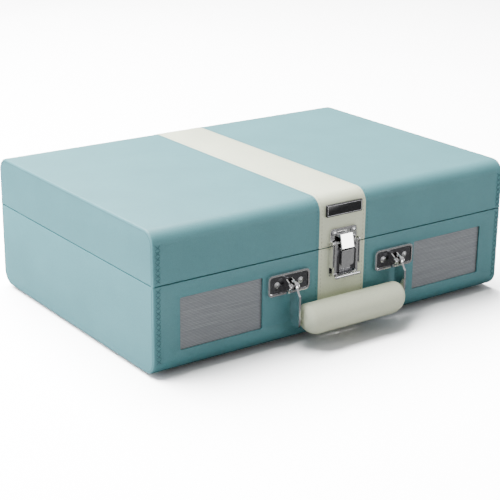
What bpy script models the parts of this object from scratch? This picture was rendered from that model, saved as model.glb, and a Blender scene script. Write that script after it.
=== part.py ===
"""Suitcase record player, closed: covered base and lid, latch, carrying handle, speakers and turntable."""

from math import asin, cos, pi, radians, sin

import bmesh
import bpy
from mathutils import Matrix, Vector

for old in list(bpy.context.scene.objects):
    bpy.data.objects.remove(old)

MM = 0.001
GAP = 0.3 * MM  # between pieces that touch
RUNNING_GAP = 0.4 * MM  # between pieces that slide or turn

# Case. The origin is on the ground, under the middle of the whole object.
CASE_WIDTH = 355 * MM
CASE_DEPTH = 251 * MM
FOOT_HEIGHT = 3 * MM
BASE_HEIGHT = 72 * MM
LID_HEIGHT = 41.9 * MM
PARTING_GAP = 0.8 * MM
WALL = 5 * MM
CORNER_RADIUS = 12 * MM
BAND_WIDTH = 47 * MM
BAND_THICKNESS = 1 * MM
FOOT_RADIUS = 8 * MM
FOOT_INSET = 28 * MM

# Handle. "Out" is the distance in front of the case's front face.
GRIP_DIAMETER = 25.8 * MM
GRIP_LENGTH = 98 * MM
GRIP_END_RADIUS = 10.5 * MM
GRIP_OUT = 18.4 * MM
GRIP_BELOW_PIVOT = 25.6 * MM
STRAP_X = 54.2 * MM  # middle of each leg
STRAP_WIDTH = 12 * MM
STRAP_THICKNESS = 1.8 * MM
STRAP_BEHIND_GRIP = 1.4 * MM  # from the grip's axis back to the strap's front edge
STRAP_HEAD_RADIUS = 4.8 * MM
HANDLE_PIVOT_OUT = 8 * MM
HANDLE_PIVOT_DROP = 21.6 * MM  # below the base's rim
HANDLE_PIN_RADIUS = 1.5 * MM
BRACKET_WIDTH = 40.5 * MM
BRACKET_HEIGHT = 17.5 * MM
BRACKET_THICKNESS = 2.4 * MM
BRACKET_RIM = 1.6 * MM
BRACKET_DISH = 1.2 * MM
EAR_THICKNESS = 1.2 * MM
EAR_SPAN = 5.6 * MM

# Hinges at the back.
HINGE_X = 110 * MM
HINGE_LENGTH = 34 * MM
HINGE_LEAF_HEIGHT = 18 * MM
HINGE_LEAF_THICKNESS = 1.2 * MM
HINGE_BARREL_RADIUS = 2.6 * MM
HINGE_PIN_RADIUS = 1.3 * MM

BARREL_OUT = HINGE_BARREL_RADIUS + 2 * GAP
FRONT_REACH = GRIP_OUT + GRIP_DIAMETER / 2
BACK_REACH = BARREL_OUT + HINGE_BARREL_RADIUS
FRONT_Y = FRONT_REACH - (CASE_DEPTH + FRONT_REACH + BACK_REACH) / 2
BACK_Y = FRONT_Y + CASE_DEPTH
MIDDLE_Y = (FRONT_Y + BACK_Y) / 2
HALF_WIDTH = CASE_WIDTH / 2
BASE_RIM = FOOT_HEIGHT + BASE_HEIGHT
LID_RIM = BASE_RIM + PARTING_GAP
LID_TOP = LID_RIM + LID_HEIGHT
HINGE_Z = BASE_RIM + PARTING_GAP / 2
HINGE_Y = BACK_Y + BARREL_OUT

# Speakers.
GRILLE_WIDTH = 76 * MM
GRILLE_HEIGHT = 42.5 * MM
GRILLE_X = 116 * MM
GRILLE_DROP = 33.5 * MM  # centre below the base's rim
GRILLE_RADIUS = 1.5 * MM
GRILLE_RECESS = 1.5 * MM
GRILLE_LAP = 2.5 * MM
GRILLE_THICKNESS = 1.5 * MM
SPEAKER_RADIUS = 23 * MM
SPEAKER_DEPTH = 20 * MM

# Latch and badge.
KEEPER_WIDTH = 27 * MM
KEEPER_HEIGHT = 14 * MM
KEEPER_THICKNESS = 1.5 * MM
KEEPER_ABOVE_RIM = 0.6 * MM
NOSE_WIDTH = 12 * MM
NOSE_OUT = 4 * MM
LATCH_PIVOT_RISE = 4 * MM  # above the base's rim
LATCH_PIVOT_OUT = 4.6 * MM
LATCH_PIN_RADIUS = 0.9 * MM
LEVER_WIDTH = 24.4 * MM
LEVER_DROP = 29 * MM  # from the pivot to the lever's lower edge
LEVER_THICKNESS = 1.4 * MM
LEVER_RIM = 2.4 * MM
LEVER_RIM_OUT = 6 * MM
LATCH_BASE_WIDTH = 28 * MM
TONGUE_WIDTH = 12.5 * MM
TONGUE_OUT = 8 * MM
CLAW_THICKNESS = 1.4 * MM
CLAW_LENGTH = 11.5 * MM
CLAW_LEAN = 2.6 * MM
CLAW_PIVOT_OUT = 7.4 * MM
CLAW_PIVOT_DROP = 4 * MM  # below the lever's pivot
BADGE_WIDTH = 36 * MM
BADGE_HEIGHT = 10 * MM
BADGE_THICKNESS = 2 * MM
BADGE_RISE = 30.5 * MM  # centre above the lid's rim

# Screws.
SCREW_HEAD_RADIUS = 2.7 * MM
SCREW_HEAD_HEIGHT = 1.1 * MM
SCREW_RADIUS = 1.3 * MM
SCREW_DEPTH = 4 * MM  # into the case from its face
BRACKET_SCREW_X = 11.6 * MM
KEEPER_SCREW_X = 9.8 * MM

# Turntable deck, seen from above.
DECK_DROP = 5 * MM
DECK_THICKNESS = 3 * MM
SPINDLE_X = -52 * MM
SPINDLE_Y = MIDDLE_Y - 6 * MM
PLATTER_RADIUS = 98 * MM
PLATTER_THICKNESS = 3 * MM
PLATTER_RIM_DEPTH = 8 * MM
PLATTER_ABOVE_DECK = 2 * MM
WELL_CLEARANCE = 4 * MM
WELL_DEPTH = 8 * MM
DRIVE_RADIUS = 60 * MM
DRIVE_WALL = 2.5 * MM
SLIPMAT_RADIUS = 96 * MM
SLIPMAT_THICKNESS = 1.2 * MM
SPINDLE_RADIUS = 3.5 * MM
SPINDLE_RISE = 13 * MM  # above the deck
BEARING_RADIUS = 7 * MM
BEARING_LENGTH = 16 * MM
PULLEY_RADIUS = 6 * MM
PULLEY_DISTANCE = 80 * MM
PULLEY_ANGLE = radians(135)
MOTOR_RADIUS = 16 * MM
MOTOR_LENGTH = 20 * MM
BELT_THICKNESS = 0.8 * MM
BELT_HEIGHT = 4 * MM
ADAPTER_RADIUS = 19 * MM
ADAPTER_X = -142 * MM
ADAPTER_Y = MIDDLE_Y + 92 * MM

# Tonearm.
ARM_X = 112 * MM
ARM_Y = MIDDLE_Y + 84 * MM
ARM_LENGTH = 184 * MM
ARM_RISE = 20 * MM  # pivot above the deck
ARM_WIDTH = 7 * MM
ARM_HEIGHT = 5 * MM
ARM_BASE_RADIUS = 26 * MM
ARM_BASE_HEIGHT = 6 * MM
YOKE_RADIUS = 12 * MM
YOKE_HEIGHT = 4 * MM
YOKE_EAR_THICKNESS = 2 * MM
PIVOT_BLOCK_WIDTH = 12 * MM
ARM_PIN_RADIUS = 1.4 * MM
CUE_RADIUS = 20 * MM
CUE_SWEEP = radians(48)
REST_Y = MIDDLE_Y - 36 * MM

# Controls on the deck.
CONTROL_X = 149 * MM
KNOB_RADIUS = 11 * MM
KNOB_HEIGHT = 12 * MM
KNOB_Y = MIDDLE_Y - 90 * MM
HEADPHONE_Y = MIDDLE_Y - 60 * MM
SPEED_Y = MIDDLE_Y - 28 * MM
SPEED_TRAVEL = 10 * MM
AUTOSTOP_Y = MIDDLE_Y + 2 * MM
AUTOSTOP_TRAVEL = 6 * MM
SWITCH_WIDTH = 6 * MM
SWITCH_LENGTH = 9 * MM

# Jacks in the back wall.
JACK_Z = FOOT_HEIGHT + 30 * MM
RCA_X = 60 * MM
RCA_SPACING = 14 * MM
RCA_RADIUS = 4.2 * MM
AUX_X = 36 * MM
DC_X = 88 * MM
JACK_RADIUS = 5 * MM

DECK_TOP = BASE_RIM - DECK_DROP
PLATTER_TOP = DECK_TOP + PLATTER_ABOVE_DECK
SLIPMAT_TOP = PLATTER_TOP + GAP + SLIPMAT_THICKNESS
ARM_Z = DECK_TOP + ARM_RISE
PIVOT_Z = BASE_RIM - HANDLE_PIVOT_DROP
PIVOT_Y = FRONT_Y - HANDLE_PIVOT_OUT
LATCH_Z = BASE_RIM + LATCH_PIVOT_RISE
LATCH_Y = FRONT_Y - LATCH_PIVOT_OUT


def collection(name):
    made = bpy.data.collections.new(name)
    bpy.context.scene.collection.children.link(made)
    return made


PARTS = collection("suitcase_record_player")
CUTTERS = collection("cutters")


def material(name, colour, roughness, metallic=0.0):
    made = bpy.data.materials.new(name)
    made.use_nodes = True
    shader = made.node_tree.nodes["Principled BSDF"]
    shader.inputs["Base Color"].default_value = (*colour, 1)
    shader.inputs["Roughness"].default_value = roughness
    shader.inputs["Metallic"].default_value = metallic
    return made


BLUE = material("blue_leatherette", (0.33, 0.52, 0.55), 0.5)
CREAM = material("cream_leatherette", (0.76, 0.77, 0.68), 0.5)
CHROME = material("chrome", (0.8, 0.8, 0.8), 0.12, 1.0)
STEEL = material("steel", (0.55, 0.55, 0.56), 0.3, 1.0)
BLACK = material("black_plastic", (0.03, 0.03, 0.03), 0.4)
CLOTH = material("grille_cloth", (0.25, 0.26, 0.27), 0.9)
RUBBER = material("rubber", (0.02, 0.02, 0.02), 0.8)
FELT = material("felt", (0.05, 0.05, 0.05), 1.0)
BRASS = material("brass", (0.7, 0.55, 0.25), 0.3, 1.0)
BOARD = material("board", (0.05, 0.25, 0.12), 0.5)
RED = material("red_plastic", (0.6, 0.05, 0.05), 0.4)


def add(name, mesh, look=None, at=(0, 0, 0)):
    """Puts a mesh, made around `at`, into the model, or among the cutters when it has no look."""
    made = bpy.data.objects.new(name, mesh)
    made.location = at
    if look:
        mesh.materials.append(look)
        PARTS.objects.link(made)
    else:
        made.hide_render = True
        made.display_type = "WIRE"
        CUTTERS.objects.link(made)
    mesh.shade_smooth()
    mesh.set_sharp_from_angle(angle=radians(30))
    return made


def to_mesh(name, shape, at):
    shape.transform(Matrix.Translation(-Vector(at)))
    mesh = bpy.data.meshes.new(name)
    shape.to_mesh(mesh)
    shape.free()
    return mesh


def block(name, low, high, look=None, at=None, radius=0.0, along="Y", segments=4, bevel=0.0):
    """A box between two corners. The edges along one axis are rounded by radius, then all by bevel."""
    low, high = Vector(map(min, low, high)), Vector(map(max, low, high))
    at = (low + high) / 2 if at is None else Vector(at)
    shape = bmesh.new()
    bmesh.ops.create_cube(shape, size=1)
    size = high - low
    shape.transform(Matrix.Translation((low + high) / 2) @ Matrix.Diagonal((*size, 1)))
    if radius:
        axis = "XYZ".index(along)
        rounded = [e for e in shape.edges if abs((e.verts[0].co - e.verts[1].co)[axis]) > size[axis] / 2]
        bmesh.ops.bevel(shape, geom=rounded, offset=radius, segments=segments, profile=0.5, affect="EDGES")
    if bevel:
        sharp = [e for e in shape.edges if e.calc_face_angle(0) > radians(60)]
        bmesh.ops.bevel(shape, geom=sharp, offset=bevel, segments=2, profile=0.5, affect="EDGES")
    return add(name, to_mesh(name, shape, at), look, at)


def rod(name, start, end, radius, look=None, at=None, sides=20, end_radius=0.0):
    """A round bar between two points, with its rims rounded by end_radius."""
    start, end = Vector(start), Vector(end)
    at = (start + end) / 2 if at is None else Vector(at)
    axis = end - start
    turn = axis.to_track_quat("Z", "Y").to_matrix().to_4x4()
    shape = bmesh.new()
    bmesh.ops.create_cone(
        shape, cap_ends=True, segments=sides, radius1=radius, radius2=radius, depth=axis.length
    )
    if end_radius:
        rims = [e for e in shape.edges if abs(e.verts[0].co.z - e.verts[1].co.z) < axis.length / 2]
        bmesh.ops.bevel(shape, geom=rims, offset=end_radius, segments=5, profile=0.5, affect="EDGES")
    half_side = Matrix.Rotation(pi / sides, 4, "Z")
    shape.transform(Matrix.Translation((start + end) / 2) @ turn @ half_side)
    return add(name, to_mesh(name, shape, at), look, at)


def turned(name, profile, look, at, turn=None, steps=24):
    """A turned piece. The profile's (radius, height) points run from the top, down the outside, to the bottom.

    It is an open line between two points on the axis, or a loop. A stretch along the axis makes no surface.
    """
    count = len(profile)
    on_axis = [radius < 1e-9 for radius, _ in profile]
    looped = not (on_axis[0] and on_axis[-1])
    pairs = [(i, (i + 1) % count) for i in range(count if looped else count - 1)]
    mesh = bpy.data.meshes.new(name)
    points = [(radius, 0, height) for radius, height in profile]
    mesh.from_pydata(points, [(i, j) for i, j in pairs if not (on_axis[i] and on_axis[j])], [])
    made = add(name, mesh, look, at)
    if turn:
        made.rotation_euler = turn
    screw = made.modifiers.new("turn", "SCREW")
    screw.steps = screw.render_steps = steps
    screw.use_merge_vertices = True
    screw.merge_threshold = 0.00002
    screw.use_smooth_shade = True
    return made


def ring(name, inner, outer, low, high, look, at, steps=32):
    profile = [(inner, high), (outer, high), (outer, low), (inner, low)]
    return turned(name, profile, look, at, steps=steps)


def outline_plate(name, loops, thickness, look, at, turn):
    """A flat plate of the given outlines, whose plane is turned into place; its middle plane goes through `at`."""
    curve = bpy.data.curves.new(name, "CURVE")
    curve.dimensions = "2D"
    curve.fill_mode = "BOTH"
    curve.extrude = thickness / 2
    for loop in loops:
        spline = curve.splines.new("POLY")
        spline.points.add(len(loop) - 1)
        for point, (u, v) in zip(spline.points, loop):
            point.co = (u, v, 0, 1)
        spline.use_cyclic_u = True
    drawn = bpy.data.objects.new(name + "_outline", curve)
    bpy.context.scene.collection.objects.link(drawn)
    mesh = bpy.data.meshes.new_from_object(drawn.evaluated_get(bpy.context.evaluated_depsgraph_get()))
    bpy.data.objects.remove(drawn)
    shape = bmesh.new()
    shape.from_mesh(mesh)
    bmesh.ops.remove_doubles(shape, verts=shape.verts, dist=0.000005)
    shape.transform(turn)
    shape.to_mesh(mesh)
    shape.free()
    mesh.materials.clear()
    return add(name, mesh, look, at)


def boolean(target, operand, operation="DIFFERENCE"):
    modifier = target.modifiers.new(operand.name, "BOOLEAN")
    modifier.object = operand
    modifier.operation = operation
    modifier.solver = "EXACT"


def cut(target, *cutters):
    for cutter in cutters:
        boolean(target, cutter)


def join(target, *pieces):
    for piece in pieces:
        boolean(target, piece, "UNION")


def arc(centre, radius, start, end, steps):
    """Points on an arc, from one angle to another in degrees."""
    angles = [radians(start + (end - start) * i / steps) for i in range(steps + 1)]
    return [(centre[0] + radius * cos(a), centre[1] + radius * sin(a)) for a in angles]


def wrap(name, half_width, outset, depth_in, rim, floor, look=None, ends=False):
    """A sheet bent round the case's front, top or bottom, and back, with its rounded corners; depth_in thick.

    rim is the height of its open side and floor that of its closed side.
    """
    low = Vector((-half_width, FRONT_Y - outset, min(rim, floor)))
    high = Vector((half_width, BACK_Y + outset, max(rim, floor)))
    shape = bmesh.new()
    bmesh.ops.create_cube(shape, size=1)
    shape.transform(Matrix.Translation((low + high) / 2) @ Matrix.Diagonal((*(high - low), 1)))
    closed = [e for e in shape.edges if all(abs(v.co.z - floor) < GAP for v in e.verts)]
    lengthways = [e for e in closed if abs(e.verts[0].co.x - e.verts[1].co.x) > half_width]
    bmesh.ops.bevel(
        shape, geom=lengthways, offset=CORNER_RADIUS + outset, segments=8, profile=0.5, affect="EDGES"
    )
    opened = [f for f in shape.faces if all(abs(v.co.z - rim) < GAP for v in f.verts)]
    if not ends:
        opened += [f for f in shape.faces if abs(f.normal.x) > 0.9]
    bmesh.ops.delete(shape, geom=opened, context="FACES")
    centre = (low + high) / 2
    made = add(name, to_mesh(name, shape, centre), look, centre)
    solidify = made.modifiers.new("thickness", "SOLIDIFY")
    solidify.thickness = depth_in
    solidify.offset = -1
    solidify.use_even_offset = True
    return made


def front(x, out, z):
    """A point at a distance in front of the front face."""
    return (x, FRONT_Y - out, z)


def back(x, out, z):
    """A point at a distance behind the back face."""
    return (x, BACK_Y + out, z)


def screw(name, x, z, seat):
    """A pan-head screw through a plate on the front face. seat is the plate's outer face, ahead of the case."""
    head = seat + GAP
    return turned(
        name,
        [
            (0, SCREW_HEAD_HEIGHT),
            (SCREW_HEAD_RADIUS * 0.6, SCREW_HEAD_HEIGHT * 0.85),
            (SCREW_HEAD_RADIUS, SCREW_HEAD_HEIGHT * 0.3),
            (SCREW_HEAD_RADIUS, 0),
            (SCREW_RADIUS, 0),
            (SCREW_RADIUS, -head - SCREW_DEPTH),
            (0, -head - SCREW_DEPTH),
        ],
        CHROME,
        front(x, head, z),
        turn=(pi / 2, 0, 0),
        steps=14,
    )


def screw_hole(name, x, z):
    far = SCREW_DEPTH + GAP
    return rod(name, front(x, -far, z), front(x, 2 * BRACKET_THICKNESS, z), SCREW_RADIUS + GAP, sides=16)


def case():
    base = wrap("base_shell", HALF_WIDTH, 0, WALL, BASE_RIM, FOOT_HEIGHT, BLUE, ends=True)
    lid = wrap("lid_shell", HALF_WIDTH, 0, WALL, LID_RIM, LID_TOP, BLUE, ends=True)
    half_band = BAND_WIDTH / 2
    spare = WALL
    for shell, name, rim, floor, away in (
        (base, "base_band", BASE_RIM, FOOT_HEIGHT, 1),
        (lid, "lid_band", LID_RIM, LID_TOP, -1),
    ):
        outset = 2 * GAP
        groove = wrap(
            name + "_groove",
            half_band + GAP,
            outset,
            BAND_THICKNESS + GAP + outset,
            rim + away * spare,
            floor - away * outset,
        )
        cut(shell, groove)
        wrap(name, half_band, 0, BAND_THICKNESS, rim, floor, CREAM)
    foot_x = HALF_WIDTH - FOOT_INSET
    foot_y = CASE_DEPTH / 2 - FOOT_INSET
    top = FOOT_HEIGHT - GAP
    for side, x in (("left", -foot_x), ("right", foot_x)):
        for end, y in (("front", MIDDLE_Y - foot_y), ("back", MIDDLE_Y + foot_y)):
            profile = [(0, top), (FOOT_RADIUS, top), (FOOT_RADIUS * 0.85, 0), (0, 0)]
            turned(f"foot_{end}_{side}", profile, RUBBER, (x, y, 0), steps=24)
    return base, lid


def speakers(base):
    z = BASE_RIM - GRILLE_DROP
    for side, x in (("left", -GRILLE_X), ("right", GRILLE_X)):
        half_w, half_h = GRILLE_WIDTH / 2, GRILLE_HEIGHT / 2
        window = block(
            f"grille_{side}_window",
            front(x - half_w, -2 * WALL, z - half_h),
            front(x + half_w, WALL, z + half_h),
            radius=GRILLE_RADIUS,
        )
        wide, high = half_w + GRILLE_LAP + GAP, half_h + GRILLE_LAP + GAP
        rebate = block(
            f"grille_{side}_rebate",
            front(x - wide, -2 * WALL, z - high),
            front(x + wide, -GRILLE_RECESS, z + high),
            radius=GRILLE_RADIUS + GRILLE_LAP,
        )
        cut(base, window, rebate)
        seat = GRILLE_RECESS + GAP
        block(
            f"grille_{side}",
            front(x - wide + GAP, -seat - GRILLE_THICKNESS, z - high + GAP),
            front(x + wide - GAP, -seat, z + high - GAP),
            CLOTH,
            radius=GRILLE_RADIUS + GRILLE_LAP,
        )
        r, d = SPEAKER_RADIUS, SPEAKER_DEPTH
        profile = [
            (0, -0.3 * d),
            (0.25 * r, -0.25 * d),
            (0.35 * r, -0.35 * d),
            (0.82 * r, -0.06 * d),
            (0.86 * r, 0),
            (r, 0),
            (r, -0.1 * d),
            (0.85 * r, -0.15 * d),
            (0.5 * r, -0.6 * d),
            (0.66 * r, -0.6 * d),
            (0.66 * r, -d),
            (0, -d),
        ]
        at = front(x, -WALL - GAP, z)
        turned(f"speaker_{side}", profile, BLACK, at, turn=(pi / 2, 0, 0))


def handle(base):
    z = PIVOT_Z
    plate_low, plate_high = z + 1.2 * MM - BRACKET_HEIGHT / 2, z + 1.2 * MM + BRACKET_HEIGHT / 2
    dish = BRACKET_THICKNESS + GAP - BRACKET_DISH
    for side, sign in (("left", -1), ("right", 1)):
        x = sign * STRAP_X
        half = BRACKET_WIDTH / 2
        plate = block(
            f"handle_bracket_{side}",
            front(x - half, GAP + BRACKET_THICKNESS, plate_low),
            front(x + half, GAP, plate_high),
            CHROME,
            radius=3.5 * MM,
        )
        cut(
            plate,
            block(
                f"bracket_{side}_dish",
                front(x - half + BRACKET_RIM, 3 * BRACKET_THICKNESS, plate_low + BRACKET_RIM),
                front(x + half - BRACKET_RIM, dish, plate_high - BRACKET_RIM),
                radius=2.4 * MM,
            ),
        )
        for number, offset in enumerate((-EAR_SPAN / 2, EAR_SPAN / 2)):
            ear_x = x + offset
            base_out = GAP + BRACKET_DISH / 2
            pivot = (-HANDLE_PIVOT_OUT, 0)
            outline = [(-base_out, 6 * MM)]
            outline += arc(pivot, 3 * MM, 60, 270, 8)
            outline += [(-base_out, -6 * MM)]
            turn = Matrix(((0, 0, 1, 0), (1, 0, 0, 0), (0, 1, 0, 0), (0, 0, 0, 1)))
            ear = outline_plate(
                f"bracket_{side}_ear_{number}", [outline], EAR_THICKNESS, None, (ear_x, FRONT_Y, z), turn
            )
            join(plate, ear)
        pin_half = EAR_SPAN / 2 + EAR_THICKNESS / 2
        hole = HANDLE_PIN_RADIUS + GAP
        bore = rod(
            f"bracket_{side}_bore", (x - 2 * pin_half, PIVOT_Y, z), (x + 2 * pin_half, PIVOT_Y, z), hole
        )
        cut(plate, bore)
        head = pin_half + GAP
        profile = [
            (0, head + 1.2 * MM),
            (1.9 * MM, head + 1.2 * MM),
            (2.7 * MM, head + 0.5 * MM),
            (2.7 * MM, head),
            (HANDLE_PIN_RADIUS, head),
            (HANDLE_PIN_RADIUS, -head),
            (2.7 * MM, -head),
            (2.7 * MM, -head - 0.5 * MM),
            (1.9 * MM, -head - 1.2 * MM),
            (0, -head - 1.2 * MM),
        ]
        turned(f"handle_pin_{side}", profile, CHROME, (x, PIVOT_Y, z), turn=(0, pi / 2, 0), steps=16)
        for place, offset in (("inner", -sign * BRACKET_SCREW_X), ("outer", sign * BRACKET_SCREW_X)):
            name = f"bracket_screw_{side}_{place}"
            hole = screw_hole(name + "_hole", x + offset, z + 1.2 * MM)
            cut(plate, hole)
            cut(base, hole)
            screw(name, x + offset, z + 1.2 * MM, dish)
    strap_and_grip()


def strap_and_grip():
    """The flat U strap on the two pins, with its crossbar through the padded grip."""
    grip_z = PIVOT_Z - GRIP_BELOW_PIVOT
    ahead = GRIP_OUT - STRAP_BEHIND_GRIP
    rear = ahead - STRAP_WIDTH
    bottom = -GRIP_BELOW_PIVOT - 7 * MM
    neck = -1.3 * STRAP_HEAD_RADIUS
    outline = arc((-HANDLE_PIVOT_OUT, 0), STRAP_HEAD_RADIUS, 0, 180, 10)
    outline += [(-ahead + 1.5 * MM, neck + 1.5 * MM), (-ahead, neck)]
    outline += arc((-ahead + 3 * MM, bottom + 3 * MM), 3 * MM, 180, 270, 4)
    outline += arc((-rear - 9 * MM, bottom + 9 * MM), 9 * MM, 270, 360, 6)
    outline += [(-rear, neck), (-rear + 1 * MM, neck + 3 * MM)]
    turn = Matrix(((0, 0, 1, 0), (1, 0, 0, 0), (0, 1, 0, 0), (0, 0, 0, 1)))
    legs = [
        outline_plate(f"strap_leg_{side}", [outline], STRAP_THICKNESS, None, (x, FRONT_Y, PIVOT_Z), turn)
        for side, x in (("left", -STRAP_X), ("right", STRAP_X))
    ]
    strap = block(
        "handle_strap",
        front(-STRAP_X, ahead - 1.5 * MM, grip_z - STRAP_THICKNESS / 2),
        front(STRAP_X, ahead - 9 * MM, grip_z + STRAP_THICKNESS / 2),
        CHROME,
        at=(0, PIVOT_Y, PIVOT_Z),
    )
    join(strap, *legs)
    for side, x in (("left", -STRAP_X), ("right", STRAP_X)):
        bore = rod(
            f"strap_bore_{side}",
            (x - 2 * STRAP_THICKNESS, PIVOT_Y, PIVOT_Z),
            (x + 2 * STRAP_THICKNESS, PIVOT_Y, PIVOT_Z),
            HANDLE_PIN_RADIUS + GAP,
        )
        cut(strap, bore)
    grip = rod(
        "handle_grip",
        front(-GRIP_LENGTH / 2, GRIP_OUT, grip_z),
        front(GRIP_LENGTH / 2, GRIP_OUT, grip_z),
        GRIP_DIAMETER / 2,
        CREAM,
        at=(0, PIVOT_Y, PIVOT_Z),
        sides=32,
        end_radius=GRIP_END_RADIUS,
    )
    slot = block(
        "grip_slot",
        front(-GRIP_LENGTH, ahead - 1.5 * MM + GAP, grip_z - STRAP_THICKNESS / 2 - GAP),
        front(GRIP_LENGTH, ahead - 9 * MM - GAP, grip_z + STRAP_THICKNESS / 2 + GAP),
    )
    cut(grip, slot)


def latch(base, lid):
    """The keeper on the lid, and the lever with its claw on a pivoted plate on the base."""
    half = KEEPER_WIDTH / 2
    keeper_low = LID_RIM + KEEPER_ABOVE_RIM
    keeper_high = keeper_low + KEEPER_HEIGHT
    face = GAP + KEEPER_THICKNESS
    keeper = block(
        "latch_keeper",
        front(-half, face, keeper_low),
        front(half, GAP, keeper_high),
        CHROME,
        radius=2.5 * MM,
    )
    nose_z = keeper_high - 6 * MM
    nose = block(
        "keeper_nose",
        front(-NOSE_WIDTH / 2, NOSE_OUT, nose_z - 1.2 * MM),
        front(NOSE_WIDTH / 2, 2 * GAP, nose_z + 1.2 * MM),
        bevel=0.4 * MM,
    )
    join(keeper, nose)
    for side, x in (("left", -KEEPER_SCREW_X), ("right", KEEPER_SCREW_X)):
        hole = screw_hole(f"keeper_screw_{side}_hole", x, keeper_high - 3.6 * MM)
        cut(keeper, hole)
        cut(lid, hole)
        cut(bpy.data.objects["lid_band"], hole)
        screw(f"keeper_screw_{side}", x, keeper_high - 3.6 * MM, face)

    half = LATCH_BASE_WIDTH / 2
    ear = 1 * MM
    plate_face = GAP + 1.2 * MM
    plate_low = LATCH_Z - LEVER_DROP + 1 * MM
    plate = block(
        "latch_base",
        front(-half, plate_face, plate_low),
        front(half, GAP, BASE_RIM - 0.6 * MM),
        CHROME,
        radius=1.5 * MM,
    )
    for name, x in (("left", -half), ("right", half - ear)):
        low = front(x, LEVER_RIM_OUT, plate_low + 8 * MM)
        high = front(x + ear, plate_face - 2 * GAP, BASE_RIM - 1.2 * MM)
        lug = block(f"latch_ear_{name}_lower", low, high)
        low = front(x, LEVER_RIM_OUT, plate_low + 12 * MM)
        high = front(x + ear, face + 2 * GAP, LATCH_Z + 1.9 * MM)
        join(plate, lug, block(f"latch_ear_{name}_upper", low, high, radius=1.2 * MM, along="X"))
    pivot_span = LATCH_BASE_WIDTH
    bore = rod(
        "latch_base_bore",
        (-pivot_span, LATCH_Y, LATCH_Z),
        (pivot_span, LATCH_Y, LATCH_Z),
        LATCH_PIN_RADIUS + GAP,
        sides=16,
    )
    cut(plate, bore)
    latch_lever(half, ear)


def latch_lever(half, ear):
    """A pressed lever with a raised rim and centre panel, its pivot pin, and the claw hinged on it."""
    wide = LEVER_WIDTH / 2
    back_out = LATCH_PIVOT_OUT - 1.5 * MM
    panel_out = back_out + LEVER_THICKNESS
    low = LATCH_Z - LEVER_DROP
    top = LATCH_Z + 1.5 * MM
    lever = block(
        "latch_lever",
        front(-wide, LEVER_RIM_OUT, low),
        front(wide, back_out, top),
        CHROME,
        at=(0, LATCH_Y, LATCH_Z),
        radius=3.4 * MM,
    )
    tray = block(
        "lever_tray",
        front(-wide + LEVER_RIM, 2 * LEVER_RIM_OUT, low + 3.4 * MM),
        front(wide - LEVER_RIM, panel_out, top + 3 * MM),
        radius=1.6 * MM,
    )
    cut(lever, tray)
    claw_z = LATCH_Z - CLAW_PIVOT_DROP
    tongue_half = TONGUE_WIDTH / 2
    panel = block(
        "lever_panel",
        front(-tongue_half, TONGUE_OUT, low + 10 * MM),
        front(tongue_half, panel_out - 3 * GAP, claw_z - CLAW_THICKNESS - RUNNING_GAP),
        radius=2 * MM,
    )
    pin = rod(
        "lever_pin",
        (-half + GAP, LATCH_Y, LATCH_Z),
        (half - GAP, LATCH_Y, LATCH_Z),
        LATCH_PIN_RADIUS,
        sides=16,
    )
    post_in = tongue_half + RUNNING_GAP
    posts = [
        block(
            f"claw_post_{number}",
            front(x, CLAW_PIVOT_OUT + 1 * MM, claw_z - 1.5 * MM),
            front(x + 1 * MM, panel_out - 3 * GAP, claw_z + 1.2 * MM),
        )
        for number, x in enumerate((-post_in - 1 * MM, post_in))
    ]
    join(lever, panel, pin, *posts)
    claw_y = FRONT_Y - CLAW_PIVOT_OUT
    bore = rod(
        "claw_bore",
        (-2 * post_in, claw_y, claw_z),
        (2 * post_in, claw_y, claw_z),
        0.5 * MM + GAP,
        sides=12,
    )
    cut(lever, bore)
    lean = asin(CLAW_LEAN / CLAW_LENGTH)
    claw = block(
        "latch_claw",
        (-tongue_half, -CLAW_THICKNESS / 2, -CLAW_THICKNESS / 2),
        (tongue_half, CLAW_THICKNESS / 2, CLAW_LENGTH),
        CHROME,
        at=(0, 0, 0),
        bevel=0.35 * MM,
    )
    claw.data.transform(Matrix.Rotation(-lean, 4, "X"))
    claw.location = (0, claw_y, claw_z)
    axle = rod(
        "claw_axle",
        (-post_in - 0.8 * MM, claw_y, claw_z),
        (post_in + 0.8 * MM, claw_y, claw_z),
        0.5 * MM,
        sides=12,
    )
    join(claw, axle)


def badge():
    z = LID_RIM + BADGE_RISE
    half_w, half_h = BADGE_WIDTH / 2, BADGE_HEIGHT / 2
    block(
        "name_badge",
        front(-half_w, GAP + BADGE_THICKNESS, z - half_h),
        front(half_w, GAP, z + half_h),
        BLACK,
        bevel=0.3 * MM,
    )


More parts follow.
